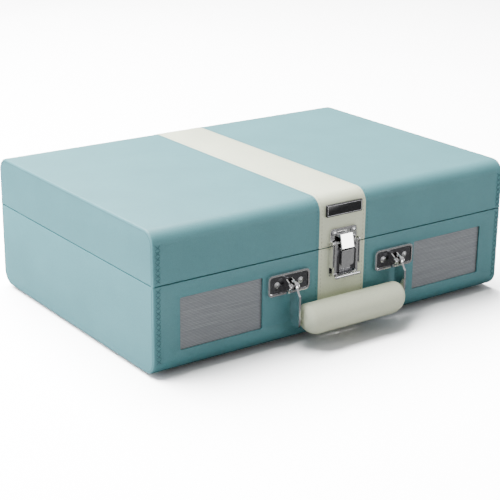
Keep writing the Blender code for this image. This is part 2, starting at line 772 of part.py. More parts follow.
def hinges():
    leaf_in = GAP
    leaf_out = GAP + HINGE_LEAF_THICKNESS
    reach = HINGE_BARREL_RADIUS + 2 * GAP
    third = HINGE_LENGTH / 3
    for side, x in (("left", -HINGE_X), ("right", HINGE_X)):
        for body, away in (("base", -1), ("lid", 1)):
            z_near, z_far = HINGE_Z + away * reach, HINGE_Z + away * HINGE_LEAF_HEIGHT
            leaf = block(
                f"hinge_{body}_leaf_{side}",
                back(x - HINGE_LENGTH / 2, leaf_in, min(z_near, z_far)),
                back(x + HINGE_LENGTH / 2, leaf_out, max(z_near, z_far)),
                STEEL,
            )
            spans = [(-1.5, -0.5), (0.5, 1.5)] if body == "base" else [(-0.5, 0.5)]
            for number, (start, end) in enumerate(spans):
                first, last = x + start * third + GAP, x + end * third - GAP
                knuckle = rod(
                    f"{body}_knuckle_{side}_{number}",
                    (first, HINGE_Y, HINGE_Z),
                    (last, HINGE_Y, HINGE_Z),
                    HINGE_BARREL_RADIUS,
                )
                tab_far = z_near + away * HINGE_LEAF_THICKNESS
                tab = block(
                    f"{body}_tab_{side}_{number}",
                    back(first, leaf_in + GAP / 2, min(HINGE_Z + away * GAP, tab_far)),
                    back(last, leaf_out, max(HINGE_Z + away * GAP, tab_far)),
                )
                join(leaf, tab, knuckle)
            bore = rod(
                f"{body}_hinge_bore_{side}",
                (x - HINGE_LENGTH, HINGE_Y, HINGE_Z),
                (x + HINGE_LENGTH, HINGE_Y, HINGE_Z),
                HINGE_PIN_RADIUS + GAP,
            )
            cut(leaf, bore)
        pin_half = HINGE_LENGTH / 2 - GAP
        rod(
            f"hinge_pin_{side}",
            (x - pin_half, HINGE_Y, HINGE_Z),
            (x + pin_half, HINGE_Y, HINGE_Z),
            HINGE_PIN_RADIUS,
            STEEL,
        )


def deck():
    """The moulded deck plate with its platter well, and the holes for what passes through it."""
    inner_x = HALF_WIDTH - WALL - GAP
    inner_y = CASE_DEPTH / 2 - WALL - GAP
    low_z = DECK_TOP - DECK_THICKNESS
    plate = block(
        "deck_plate",
        (-inner_x, MIDDLE_Y - inner_y, low_z),
        (inner_x, MIDDLE_Y + inner_y, DECK_TOP),
        BLACK,
    )
    well = PLATTER_RADIUS + WELL_CLEARANCE
    floor = DECK_TOP - WELL_DEPTH
    centre = (SPINDLE_X, SPINDLE_Y)
    pan = rod(
        "well_pan",
        (*centre, floor - DECK_THICKNESS),
        (*centre, DECK_TOP - GAP),
        well + DECK_THICKNESS,
        sides=48,
    )
    join(plate, pan)
    cut(
        plate,
        rod("well_hollow", (*centre, floor), (*centre, DECK_TOP + WELL_DEPTH), well, sides=48),
        rod(
            "bearing_hole",
            (*centre, floor - WELL_DEPTH),
            (*centre, floor + WELL_DEPTH),
            BEARING_RADIUS + GAP,
            sides=32,
        ),
        rod("pulley_hole", (*pulley_at(), floor - WELL_DEPTH), (*pulley_at(), floor + WELL_DEPTH), 4 * MM),
        rod(
            "adapter_recess",
            (ADAPTER_X, ADAPTER_Y, DECK_TOP - DECK_THICKNESS / 2),
            (ADAPTER_X, ADAPTER_Y, DECK_TOP + DECK_THICKNESS),
            ADAPTER_RADIUS + GAP,
            sides=32,
        ),
        rod(
            "knob_hole",
            (CONTROL_X, KNOB_Y, low_z - DECK_THICKNESS),
            (CONTROL_X, KNOB_Y, DECK_TOP + DECK_THICKNESS),
            3 * MM + RUNNING_GAP,
        ),
        rod(
            "headphone_hole",
            (CONTROL_X, HEADPHONE_Y, low_z - DECK_THICKNESS),
            (CONTROL_X, HEADPHONE_Y, DECK_TOP + DECK_THICKNESS),
            JACK_RADIUS - 1 * MM + GAP,
        ),
    )
    for name, y, travel in (("speed", SPEED_Y, SPEED_TRAVEL), ("autostop", AUTOSTOP_Y, AUTOSTOP_TRAVEL)):
        half = 2 * MM + RUNNING_GAP
        slot = block(
            f"{name}_slot",
            (CONTROL_X - half, y - half, low_z - DECK_THICKNESS),
            (CONTROL_X + half, y + travel + half, DECK_TOP + DECK_THICKNESS),
        )
        cut(plate, slot)


def pulley_at():
    return (
        SPINDLE_X + PULLEY_DISTANCE * cos(PULLEY_ANGLE),
        SPINDLE_Y + PULLEY_DISTANCE * sin(PULLEY_ANGLE),
    )


def belt_loop(radius, small):
    """The outline round the drive ring and the pulley: two arcs and the straight runs between them."""
    spread = asin((radius - small) / PULLEY_DISTANCE)
    toward = PULLEY_ANGLE * 180 / pi
    lean = 90 - spread * 180 / pi
    pulley = (PULLEY_DISTANCE * cos(PULLEY_ANGLE), PULLEY_DISTANCE * sin(PULLEY_ANGLE))
    return arc((0, 0), radius, toward + lean, toward + 360 - lean, 96) + arc(
        pulley, small, toward - lean, toward + lean, 24
    )


def turntable():
    at = (SPINDLE_X, SPINDLE_Y, PLATTER_TOP)
    top, rim = 0, -PLATTER_RIM_DEPTH
    under = -PLATTER_THICKNESS
    bore = SPINDLE_RADIUS + GAP
    profile = [
        (bore, top),
        (PLATTER_RADIUS - 1 * MM, top),
        (PLATTER_RADIUS, top - 1 * MM),
        (PLATTER_RADIUS, rim),
        (PLATTER_RADIUS - 3 * MM, rim),
        (PLATTER_RADIUS - 3 * MM, under),
        (DRIVE_RADIUS, under),
        (DRIVE_RADIUS, rim),
        (DRIVE_RADIUS - DRIVE_WALL, rim),
        (DRIVE_RADIUS - DRIVE_WALL, under),
        (bore, under),
    ]
    turned("platter", profile, STEEL, at, steps=48)
    mat_low = GAP
    ring("slipmat", bore, SLIPMAT_RADIUS, mat_low, mat_low + SLIPMAT_THICKNESS, FELT, at)
    floor = DECK_TOP - WELL_DEPTH - PLATTER_TOP
    bearing_top = under - RUNNING_GAP
    bearing_foot = floor - BEARING_LENGTH
    ring("platter_bearing", SPINDLE_RADIUS + GAP, BEARING_RADIUS, bearing_foot, bearing_top, BRASS, at, 32)
    spindle_top = DECK_TOP + SPINDLE_RISE - PLATTER_TOP
    profile = [
        (0, spindle_top),
        (SPINDLE_RADIUS * 0.5, spindle_top - 0.4 * MM),
        (SPINDLE_RADIUS, spindle_top - 3 * MM),
        (SPINDLE_RADIUS, bearing_foot + 2 * MM),
        (0, bearing_foot + 1 * MM),
    ]
    turned("spindle", profile, STEEL, at)

    floor_z = DECK_TOP - WELL_DEPTH
    shelf = floor_z - DECK_THICKNESS - GAP
    pulley_z = floor_z + RUNNING_GAP
    x, y = pulley_at()
    shaft = 1.5 * MM
    belt_low = 0.6 * MM
    belt_high = belt_low + BELT_HEIGHT
    flange = PULLEY_RADIUS + 1.2 * MM
    crown = belt_high + 0.6 * MM
    profile = [
        (0, crown),
        (flange, crown),
        (flange, belt_high + RUNNING_GAP / 2),
        (PULLEY_RADIUS, belt_high + RUNNING_GAP / 2),
        (PULLEY_RADIUS, 0),
        (shaft, 0),
        (shaft, -MOTOR_LENGTH / 2),
        (0, -MOTOR_LENGTH / 2),
    ]
    turned("motor_pulley", profile, BRASS, (x, y, pulley_z), steps=24)
    profile = [
        (shaft + RUNNING_GAP, 0),
        (MOTOR_RADIUS, 0),
        (MOTOR_RADIUS, -MOTOR_LENGTH),
        (0, -MOTOR_LENGTH),
        (0, -MOTOR_LENGTH * 0.7),
        (shaft + RUNNING_GAP, -MOTOR_LENGTH * 0.7),
    ]
    turned("motor", profile, STEEL, (x, y, shelf))
    inner = belt_loop(DRIVE_RADIUS + GAP, PULLEY_RADIUS + GAP)
    outer = belt_loop(DRIVE_RADIUS + GAP + BELT_THICKNESS, PULLEY_RADIUS + GAP + BELT_THICKNESS)
    middle_z = pulley_z + (belt_low + belt_high) / 2
    outline_plate(
        "drive_belt",
        [outer, inner],
        BELT_HEIGHT,
        RUBBER,
        (SPINDLE_X, SPINDLE_Y, middle_z),
        Matrix.Identity(4),
    )
    at = (ADAPTER_X, ADAPTER_Y, DECK_TOP - DECK_THICKNESS / 2 + GAP)
    ring("adapter_45", SPINDLE_RADIUS + GAP, ADAPTER_RADIUS, 0, 5 * MM, BLACK, at, 32)


def tonearm():
    """The arm's base, yoke, arm, cartridge, rest, clip and cueing lever."""
    base_top = DECK_TOP + GAP + ARM_BASE_HEIGHT
    stem = 3 * MM
    base = rod(
        "arm_base",
        (ARM_X, ARM_Y, DECK_TOP + GAP),
        (ARM_X, ARM_Y, base_top),
        ARM_BASE_RADIUS,
        BLACK,
        sides=40,
    )
    cut(
        base,
        rod(
            "arm_base_bore",
            (ARM_X, ARM_Y, DECK_TOP + ARM_BASE_HEIGHT / 3),
            (ARM_X, ARM_Y, DECK_TOP + 2 * ARM_BASE_HEIGHT),
            stem + RUNNING_GAP,
            sides=32,
        ),
    )
    yoke_low = base_top + RUNNING_GAP
    yoke = rod(
        "arm_yoke",
        (ARM_X, ARM_Y, yoke_low),
        (ARM_X, ARM_Y, yoke_low + YOKE_HEIGHT),
        YOKE_RADIUS,
        BLACK,
        at=(ARM_X, ARM_Y, ARM_Z),
        sides=32,
    )
    join(
        yoke,
        rod("yoke_stem", (ARM_X, ARM_Y, base_top - 3.4 * MM), (ARM_X, ARM_Y, yoke_low + GAP), stem),
    )
    ear_in = PIVOT_BLOCK_WIDTH / 2 + RUNNING_GAP
    for number, x in enumerate((ARM_X - ear_in - YOKE_EAR_THICKNESS, ARM_X + ear_in)):
        ear = block(
            f"yoke_ear_{number}",
            (x, ARM_Y - 5 * MM, yoke_low + YOKE_HEIGHT / 2),
            (x + YOKE_EAR_THICKNESS, ARM_Y + 5 * MM, ARM_Z + 4 * MM),
            radius=3 * MM,
            along="X",
        )
        join(yoke, ear)
    pin_half = ear_in + YOKE_EAR_THICKNESS
    cut(
        yoke,
        rod(
            "yoke_bore",
            (ARM_X - 2 * pin_half, ARM_Y, ARM_Z),
            (ARM_X + 2 * pin_half, ARM_Y, ARM_Z),
            ARM_PIN_RADIUS + GAP,
        ),
    )
    half = PIVOT_BLOCK_WIDTH / 2
    tube = block(
        "arm_tube",
        (ARM_X - half, ARM_Y - 9 * MM, ARM_Z - 3.6 * MM),
        (ARM_X + half, ARM_Y + 9 * MM, ARM_Z + 3.6 * MM),
        STEEL,
        at=(ARM_X, ARM_Y, ARM_Z),
        bevel=1 * MM,
    )
    head_y = ARM_Y - ARM_LENGTH
    beam = block(
        "arm_beam",
        (ARM_X - ARM_WIDTH / 2, head_y + 6 * MM, ARM_Z - ARM_HEIGHT / 2),
        (ARM_X + ARM_WIDTH / 2, ARM_Y, ARM_Z + ARM_HEIGHT / 2),
        radius=1.6 * MM,
    )
    weight = rod("arm_weight", (ARM_X, ARM_Y + 5 * MM, ARM_Z), (ARM_X, ARM_Y + 22 * MM, ARM_Z), 6 * MM)
    pin = rod(
        "arm_pin",
        (ARM_X - pin_half + GAP, ARM_Y, ARM_Z),
        (ARM_X + pin_half - GAP, ARM_Y, ARM_Z),
        ARM_PIN_RADIUS,
    )
    shell_low = ARM_Z - ARM_HEIGHT / 2
    head = block(
        "arm_headshell",
        (ARM_X - 8.5 * MM, head_y - 6 * MM, shell_low),
        (ARM_X + 8.5 * MM, head_y + 20 * MM, shell_low + 3 * MM),
        radius=3 * MM,
        along="Z",
    )
    join(tube, beam, weight, pin, head)
    cartridge_top = shell_low - GAP
    cartridge = block(
        "cartridge",
        (ARM_X - 6 * MM, head_y - 3 * MM, cartridge_top - 8 * MM),
        (ARM_X + 6 * MM, head_y + 15 * MM, cartridge_top),
        RED,
        at=(ARM_X, ARM_Y, ARM_Z),
        bevel=0.8 * MM,
    )
    tip = SLIPMAT_TOP + RUNNING_GAP
    needle = rod(
        "stylus",
        (ARM_X, head_y, tip),
        (ARM_X, head_y, cartridge_top - 4 * MM),
        0.7 * MM,
        sides=10,
    )
    join(cartridge, needle)
    cueing(base, base_top)
    arm_rest(shell_low)


def cueing(base, base_top):
    """The lift bar under the arm, on a guide pin in the base, and the lever that raises it."""
    beam_low = ARM_Z - ARM_HEIGHT / 2
    bar_high = beam_low - RUNNING_GAP
    thick = 2 * MM
    middle = -90 - CUE_SWEEP * 90 / pi
    start, end = middle - CUE_SWEEP * 110 / pi, middle + CUE_SWEEP * 110 / pi
    sweep = arc((0, 0), CUE_RADIUS + 1.5 * MM, start, end, 12)
    sweep += arc((0, 0), CUE_RADIUS - 1.5 * MM, end, start, 12)
    lift = outline_plate(
        "cue_lift",
        [sweep],
        thick,
        BLACK,
        (ARM_X, ARM_Y, bar_high - thick / 2),
        Matrix.Identity(4),
    )
    x = ARM_X + CUE_RADIUS * cos(radians(middle))
    y = ARM_Y + CUE_RADIUS * sin(radians(middle))
    pin = rod("lift_pin", (x, y, base_top - 4 * MM), (x, y, bar_high - thick / 2), 1.2 * MM, sides=16)
    join(lift, pin)
    guide = rod(
        "lift_guide",
        (x, y, base_top - 4.6 * MM),
        (x, y, base_top + 5 * MM),
        1.2 * MM + RUNNING_GAP,
        sides=16,
    )
    cut(base, guide)
    stub_x = ARM_X + 19 * MM
    stub_y = ARM_Y - 10 * MM
    stub_z = base_top + 5 * MM
    post = block(
        "lever_post",
        (stub_x - 4 * MM, stub_y - 3 * MM, base_top - 2 * MM),
        (stub_x - 1 * MM, stub_y + 3 * MM, stub_z + 3 * MM),
    )
    axle = rod(
        "lever_axle", (stub_x - 3 * MM, stub_y, stub_z), (stub_x + 3 * MM, stub_y, stub_z), 1.4 * MM, sides=20
    )
    join(base, post, axle)
    loop = arc((0, 0), 3.4 * MM, -60, 210, 10)
    loop += [(-26 * MM, 0.4 * MM), (-27 * MM, -1.6 * MM), (-24 * MM, -2.6 * MM)]
    turn = Matrix(((0, 0, 1, 0), (1, 0, 0, 0), (0, 1, 0, 0), (0, 0, 0, 1)))
    lever = outline_plate("cue_lever", [loop], 2 * MM, STEEL, (stub_x + 1 * MM, stub_y, stub_z), turn)
    cut(
        lever,
        rod(
            "cue_lever_bore",
            (stub_x - 3 * MM, stub_y, stub_z),
            (stub_x + 5 * MM, stub_y, stub_z),
            1.4 * MM + GAP,
            sides=20,
        ),
    )


def arm_rest(beam_low):
    """The rest under the arm, with the stop beside it and the clip that closes over it."""
    x_out = ARM_X + ARM_WIDTH / 2 + 1 * MM
    rest = block(
        "arm_rest",
        (ARM_X - 5 * MM, REST_Y - 6 * MM, DECK_TOP + GAP),
        (x_out + 5 * MM, REST_Y + 1.7 * MM, beam_low - RUNNING_GAP),
        BLACK,
        bevel=0.5 * MM,
    )
    wall = block(
        "rest_wall",
        (x_out, REST_Y - 5 * MM, beam_low - 5 * MM),
        (x_out + 5 * MM, REST_Y + 1.2 * MM, beam_low + 3 * MM),
    )
    clip_x = x_out + 2.5 * MM
    clip_z = beam_low
    axle = rod("rest_axle", (clip_x, REST_Y, clip_z), (clip_x, REST_Y + 6 * MM, clip_z), 1.2 * MM, sides=16)
    join(rest, wall, axle)
    reach, rise = 9 * MM, 14 * MM
    outline = arc((0, 0), 2.6 * MM, 90, 270, 8)
    outline += [(reach, -2.6 * MM), (reach, rise), (reach - 3 * MM, rise), (reach - 3 * MM, 2.6 * MM)]
    turn = Matrix(((1, 0, 0, 0), (0, 0, 1, 0), (0, 1, 0, 0), (0, 0, 0, 1)))
    clip = outline_plate(
        "arm_clip", [outline], 2.4 * MM, BLACK, (clip_x, REST_Y + 2 * MM + GAP + 1.2 * MM, clip_z), turn
    )
    cut(
        clip,
        rod(
            "clip_bore",
            (clip_x, REST_Y, clip_z),
            (clip_x, REST_Y + 9 * MM, clip_z),
            1.2 * MM + GAP,
            sides=16,
        ),
    )


def controls():
    low_z = DECK_TOP - DECK_THICKNESS
    at = (CONTROL_X, KNOB_Y, DECK_TOP)
    profile = [
        (0, KNOB_HEIGHT),
        (KNOB_RADIUS - 1 * MM, KNOB_HEIGHT),
        (KNOB_RADIUS, KNOB_HEIGHT - 1 * MM),
        (KNOB_RADIUS, RUNNING_GAP),
        (3 * MM, RUNNING_GAP),
        (3 * MM, -8 * MM),
        (0, -8 * MM),
    ]
    knob = turned("volume_knob", profile, BLACK, at, steps=32)
    mark = block(
        "knob_mark",
        (CONTROL_X - 0.6 * MM, KNOB_Y + 3 * MM, DECK_TOP + KNOB_HEIGHT - 0.6 * MM),
        (CONTROL_X + 0.6 * MM, KNOB_Y + KNOB_RADIUS, DECK_TOP + KNOB_HEIGHT + 1 * MM),
    )
    cut(knob, mark)
    for name, y in (("speed_switch", SPEED_Y), ("autostop_switch", AUTOSTOP_Y)):
        half = SWITCH_WIDTH / 2
        slider = block(
            name,
            (CONTROL_X - half, y - SWITCH_LENGTH / 2, DECK_TOP + RUNNING_GAP),
            (CONTROL_X + half, y + SWITCH_LENGTH / 2, DECK_TOP + 4 * MM),
            BLACK,
            at=(CONTROL_X, y, DECK_TOP),
            bevel=0.6 * MM,
        )
        stem = block(
            name + "_stem",
            (CONTROL_X - 2 * MM, y - 2 * MM, low_z - 2 * MM),
            (CONTROL_X + 2 * MM, y + 2 * MM, DECK_TOP + 2 * MM),
        )
        join(slider, stem)
    barrel = JACK_RADIUS - 1 * MM
    profile = [
        (1.9 * MM, 1 * MM),
        (JACK_RADIUS, 1 * MM),
        (JACK_RADIUS, GAP),
        (barrel, GAP),
        (barrel, -12 * MM),
        (0, -12 * MM),
        (0, -11 * MM),
        (1.9 * MM, -11 * MM),
    ]
    turned("headphone_jack", profile, STEEL, (CONTROL_X, HEADPHONE_Y, DECK_TOP))


def jacks(base):
    """The sockets in the back wall, and the board behind them."""
    tube = 12 * MM
    turn = (-pi / 2, 0, 0)
    for name, x, bore in (("aux_jack", AUX_X, 1.9 * MM), ("dc_jack", DC_X, 2.9 * MM)):
        barrel = JACK_RADIUS - 1 * MM
        profile = [
            (bore, GAP + 1 * MM),
            (JACK_RADIUS, GAP + 1 * MM),
            (JACK_RADIUS, GAP),
            (barrel, GAP),
            (barrel, -tube),
            (0, -tube),
            (0, 1 * MM - tube),
            (bore, 1 * MM - tube),
        ]
        turned(name, profile, BLACK, back(x, 0, JACK_Z), turn=turn)
        hole = rod(
            name + "_hole", back(x, -2 * WALL, JACK_Z), back(x, WALL, JACK_Z), barrel + GAP, sides=32
        )
        cut(base, hole)
    plate = block(
        "rca_jack_pair",
        back(RCA_X - RCA_SPACING, GAP, JACK_Z - 8 * MM),
        back(RCA_X + RCA_SPACING, GAP + 1 * MM, JACK_Z + 8 * MM),
        STEEL,
        radius=2 * MM,
    )
    for number, x in enumerate((RCA_X - RCA_SPACING / 2, RCA_X + RCA_SPACING / 2)):
        hole = rod(
            f"rca_hole_{number}", back(x, -2 * WALL, JACK_Z), back(x, WALL, JACK_Z), RCA_RADIUS + GAP
        )
        cut(base, hole)
        socket = rod(
            f"rca_socket_{number}",
            back(x, -tube, JACK_Z),
            back(x, BACK_REACH - GAP, JACK_Z),
            RCA_RADIUS,
        )
        join(plate, socket)
        inside = rod(
            f"rca_inside_{number}", back(x, 1.5 * MM - tube, JACK_Z), back(x, tube, JACK_Z), 1.8 * MM, sides=20
        )
        cut(plate, inside)
    board_y = BACK_Y - WALL - tube
    block(
        "circuit_board",
        (AUX_X - 12 * MM, board_y - 1.6 * MM, FOOT_HEIGHT + WALL + 6 * MM),
        (DC_X + 12 * MM, board_y, JACK_Z + 18 * MM),
        BOARD,
    )


base_shell, lid_shell = case()
speakers(base_shell)
handle(base_shell)
latch(base_shell, lid_shell)
badge()
hinges()
deck()
turntable()
tonearm()
controls()
jacks(base_shell)
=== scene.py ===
"""Suitcase record player: leatherette case, cream band, chrome latch and handle, turntable deck inside."""

from math import cos, pi, radians, sin

import bmesh
import bpy
from mathutils import Matrix, Vector


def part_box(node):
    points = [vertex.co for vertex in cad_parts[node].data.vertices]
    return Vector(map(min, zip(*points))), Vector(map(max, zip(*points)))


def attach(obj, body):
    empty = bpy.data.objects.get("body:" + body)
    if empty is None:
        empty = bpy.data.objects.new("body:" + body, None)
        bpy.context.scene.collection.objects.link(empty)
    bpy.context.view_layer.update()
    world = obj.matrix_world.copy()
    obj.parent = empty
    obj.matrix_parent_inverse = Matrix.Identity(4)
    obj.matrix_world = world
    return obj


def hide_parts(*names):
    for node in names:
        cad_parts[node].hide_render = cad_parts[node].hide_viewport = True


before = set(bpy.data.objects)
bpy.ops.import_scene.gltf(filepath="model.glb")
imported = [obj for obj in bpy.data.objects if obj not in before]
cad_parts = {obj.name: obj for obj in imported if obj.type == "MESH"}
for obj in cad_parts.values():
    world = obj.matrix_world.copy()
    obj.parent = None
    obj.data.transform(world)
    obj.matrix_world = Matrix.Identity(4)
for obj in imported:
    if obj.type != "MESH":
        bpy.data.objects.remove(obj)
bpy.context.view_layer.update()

MM = 0.001
WALL = 5 * MM
CORNER_RADIUS = 12 * MM
END_EDGE_RADIUS = 1.7 * MM
RIM_SPARE = 30 * MM  # built past the rim and cut off again, which leaves the rim open
WINDOW_LAP = 2.5 * MM
BAND_PROUD = 0.2 * MM
BAND_THICKNESS = 1.0 * MM
GRIP_SHIFT = Vector((0, 3 * MM, -2.1 * MM))
GRIP_FATTER = 0.1 * MM
GRIP_LONGER = 0.8 * MM  # at each end
GRIP_TOP_ROUND = 5 * MM
GRIP_UNDER_ROUND = 12.5 * MM
LEVER_PANEL_DEPTH = 4.2 * MM
BRACKET_PROUD = 2.9 * MM
DISH_DEPTH = 1.1 * MM
DISH_MARGIN = 2.0 * MM
FLOOR_TO_DIFFUSE = (0.075, 0.075, 0.077, 1)
FLOOR_TO_REFLECTIONS = (0.012, 0.012, 0.012, 1)


def corners(node):
    low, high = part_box(node)
    return Vector(low), Vector(high)


def middle(node):
    low, high = corners(node)
    return (low + high) / 2


BASE_LOW, BASE_HIGH = corners("base_shell")
LID_LOW, LID_HIGH = corners("lid_shell")
FRONT_Y, BACK_Y = BASE_LOW.y, BASE_HIGH.y
BAND_HALF = (corners("base_band")[1].x - corners("base_band")[0].x) / 2


# ---------------------------------------------------------------- materials


def new_material(name, **sockets):
    made = bpy.data.materials.new(name)
    made.use_nodes = True
    shader = made.node_tree.nodes["Principled BSDF"]
    for socket, value in sockets.items():
        target = shader.inputs[socket.replace("_", " ").title().replace("Ior", "IOR")]
        target.default_value = (*value, 1) if isinstance(value, tuple) else value
    return made, made.node_tree, shader


def node(tree, kind, **settings):
    made = tree.nodes.new(kind)
    for key, value in settings.items():
        if key in made.inputs:
            made.inputs[key].default_value = value
        else:
            setattr(made, key, value)
    return made


def coords(tree, kind="Object"):
    return node(tree, "ShaderNodeTexCoord").outputs[kind]


def noise(tree, scale, detail=3.0, roughness=0.5, source=None):
    made = node(tree, "ShaderNodeTexNoise", Scale=scale, Detail=detail, Roughness=roughness)
    tree.links.new(source or coords(tree), made.inputs["Vector"])
    return made.outputs["Fac"]


def ramp(tree, source, stops):
    made = tree.nodes.new("ShaderNodeValToRGB")
    made.color_ramp.elements[0].position, made.color_ramp.elements[0].color = stops[0]
    made.color_ramp.elements[1].position, made.color_ramp.elements[1].color = stops[-1]
    for position, colour in stops[1:-1]:
        made.color_ramp.elements.new(position).color = colour
    tree.links.new(source, made.inputs["Fac"])
    return made.outputs["Color"]


def shade(colour, factor):
    return (*(min(1.0, channel * factor) for channel in colour), 1)


def spread(tree, shader, source, low, high):
    """Drives the roughness between two values."""
    made = node(tree, "ShaderNodeMapRange")
    made.inputs["To Min"].default_value = low
    made.inputs["To Max"].default_value = high
    tree.links.new(source, made.inputs["Value"])
    tree.links.new(made.outputs["Result"], shader.inputs["Roughness"])


def bump(tree, shader, heights):
    """Chains bumps, each (height, strength, distance), into the normal."""
    last = None
    for height, strength, distance in heights:
        made = node(tree, "ShaderNodeBump", Strength=strength, Distance=distance)
        tree.links.new(height, made.inputs["Height"])
        if last:
            tree.links.new(last, made.inputs["Normal"])
        last = made.outputs["Normal"]
    tree.links.new(last, shader.inputs["Normal"])


def leatherette(name, colour, roughness=0.46, grain=1.0, slot_scale=1150):
    """Embossed vinyl: small pebbles with creases between them, and soft variation of colour."""
    made, tree, shader = new_material(name)
    cells = node(tree, "ShaderNodeTexVoronoi", Scale=slot_scale, feature="DISTANCE_TO_EDGE")
    warp = node(tree, "ShaderNodeVectorMath", operation="ADD")
    jitter = node(tree, "ShaderNodeTexNoise", Scale=500, Detail=2.0)
    small = node(tree, "ShaderNodeVectorMath", operation="SCALE", Scale=0.0012)
    at = coords(tree)
    tree.links.new(at, jitter.inputs["Vector"])
    tree.links.new(jitter.outputs["Color"], small.inputs[0])
    tree.links.new(at, warp.inputs[0])
    tree.links.new(small.outputs["Vector"], warp.inputs[1])
    tree.links.new(warp.outputs["Vector"], cells.inputs["Vector"])
    pebble = ramp(tree, cells.outputs["Distance"], [(0.0, (0, 0, 0, 1)), (0.28, (1, 1, 1, 1))])
    soft = noise(tree, 26, 4.0)
    fine = noise(tree, 2600, 2.0)
    tint = ramp(tree, soft, [(0.3, shade(colour, 0.95)), (0.7, shade(colour, 1.04))])
    mix = node(tree, "ShaderNodeMix", data_type="RGBA", blend_type="MULTIPLY")
    mix.inputs["Factor"].default_value = 0.16
    tree.links.new(tint, mix.inputs["A"])
    tree.links.new(pebble, mix.inputs["B"])
    tree.links.new(mix.outputs["Result"], shader.inputs["Base Color"])
    spread(tree, shader, fine, roughness - 0.06, roughness + 0.08)
    heights = [(pebble, 0.30 * grain, 0.00012), (fine, 0.12 * grain, 0.0001), (soft, 0.10, 0.002)]
    bump(tree, shader, heights)
    shader.inputs["Specular IOR Level"].default_value = 0.45
    return made


def metal(name, colour, roughness, streak=0.0, pits=0.05):
    """Polished or brushed metal, with faint handling marks."""
    made, tree, shader = new_material(name, metallic=1.0)
    marks = noise(tree, 160, 5.0, 0.6)
    tint = ramp(tree, marks, [(0.35, shade(colour, 0.93)), (0.65, shade(colour, 1.0))])
    tree.links.new(tint, shader.inputs["Base Color"])
    spread(tree, shader, marks, roughness * 0.7, roughness * 1.3 + 0.02)
    heights = [(noise(tree, 900, 2.0), pits, 0.0001)]
    if streak:
        stretch = node(tree, "ShaderNodeMapping")
        stretch.inputs["Scale"].default_value = (40, 3000, 3000)
        tree.links.new(coords(tree), stretch.inputs["Vector"])
        heights.append((noise(tree, 1.0, 2.0, 0.5, stretch.outputs["Vector"]), streak, 0.0001))
    bump(tree, shader, heights)
    return made


def plastic(name, colour, roughness, texture=0.15, scale=1800):
    """Moulded plastic with a spark-eroded texture and slight wear in its gloss."""
    made, tree, shader = new_material(name)
    wear = noise(tree, 60, 5.0, 0.6)
    tint = ramp(tree, wear, [(0.3, shade(colour, 0.9)), (0.7, shade(colour, 1.1))])
    tree.links.new(tint, shader.inputs["Base Color"])
    spread(tree, shader, wear, roughness - 0.05, roughness + 0.08)
    bump(tree, shader, [(noise(tree, scale, 3.0), texture, 0.0001)])
    return made


def grille_cloth():
    """Silver-grey woven cloth: fine horizontal threads over finer vertical ones."""
    made, tree, shader = new_material("grille_cloth", metallic=0.35)
    at = coords(tree)
    across = node(tree, "ShaderNodeTexWave", bands_direction="Z", Scale=260, Distortion=1.6, Detail=2.0)
    across.inputs["Detail Scale"].default_value = 3.0
    along = node(tree, "ShaderNodeTexWave", bands_direction="X", Scale=330, Distortion=0.8, Detail=1.0)
    for wave in (across, along):
        tree.links.new(at, wave.inputs["Vector"])
    weave = node(tree, "ShaderNodeMath", operation="ADD")
    tree.links.new(across.outputs["Fac"], weave.inputs[0])
    half = node(tree, "ShaderNodeMath", operation="MULTIPLY")
    half.inputs[1].default_value = 0.12
    tree.links.new(along.outputs["Fac"], half.inputs[0])
    tree.links.new(half.outputs["Value"], weave.inputs[1])
    stretch = node(tree, "ShaderNodeMapping")
    stretch.inputs["Scale"].default_value = (30, 400, 900)
    tree.links.new(at, stretch.inputs["Vector"])
    slub = noise(tree, 1.0, 3.0, 0.6, stretch.outputs["Vector"])
    blend = node(tree, "ShaderNodeMath", operation="MULTIPLY")
    tree.links.new(weave.outputs["Value"], blend.inputs[0])
    tree.links.new(slub, blend.inputs[1])
    stops = [(0.1, (0.20, 0.215, 0.23, 1)), (0.75, (0.44, 0.455, 0.475, 1))]
    tint = ramp(tree, blend.outputs["Value"], stops)
    tree.links.new(tint, shader.inputs["Base Color"])
    spread(tree, shader, slub, 0.42, 0.62)
    bump(tree, shader, [(weave.outputs["Value"], 0.5, 0.0002), (slub, 0.3, 0.0002)])
    return made


def felt(name, colour):
    made, tree, shader = new_material(name)
    fibres = noise(tree, 1400, 6.0, 0.7)
    tint = ramp(tree, fibres, [(0.3, shade(colour, 0.6)), (0.7, shade(colour, 1.5))])
    tree.links.new(tint, shader.inputs["Base Color"])
    spread(tree, shader, fibres, 0.85, 1.0)
    bump(tree, shader, [(fibres, 0.6, 0.0004)])
    shader.inputs["Sheen Weight"].default_value = 0.3
    return made


BLUE_COLOUR = (0.10, 0.285, 0.31)
CREAM_COLOUR = (0.77, 0.81, 0.60)
BLUE = leatherette("blue_leatherette", BLUE_COLOUR)
CREAM = leatherette("cream_leatherette", CREAM_COLOUR)
GRIP_SKIN = leatherette("grip_leatherette", CREAM_COLOUR, roughness=0.5, grain=0.5)
BLUE_THREAD = plastic("blue_thread", (0.05, 0.16, 0.18), 0.6, 0.5)
CREAM_THREAD = plastic("cream_thread", (0.45, 0.46, 0.32), 0.6, 0.5)
LINING = felt("lid_lining", (0.055, 0.06, 0.062))
CHROME = metal("chrome", (0.82, 0.82, 0.82), 0.09)
# Chrome darkened to near black: painted shade in the lever's wells, and a painted dark reflection in the
# brackets' dishes.
PAINTED_SHADE_CHROME = metal("chrome_painted_shade_and_reflection", (0.16, 0.16, 0.17), 0.16)
STEEL = metal("brushed_steel", (0.6, 0.6, 0.61), 0.28, streak=0.35)
BRASS = metal("brass", (0.75, 0.58, 0.28), 0.25, streak=0.2)
BLACK = plastic("black_plastic", (0.022, 0.022, 0.024), 0.42)
GLOSS_BLACK = plastic("gloss_black", (0.012, 0.012, 0.013), 0.14, 0.03)
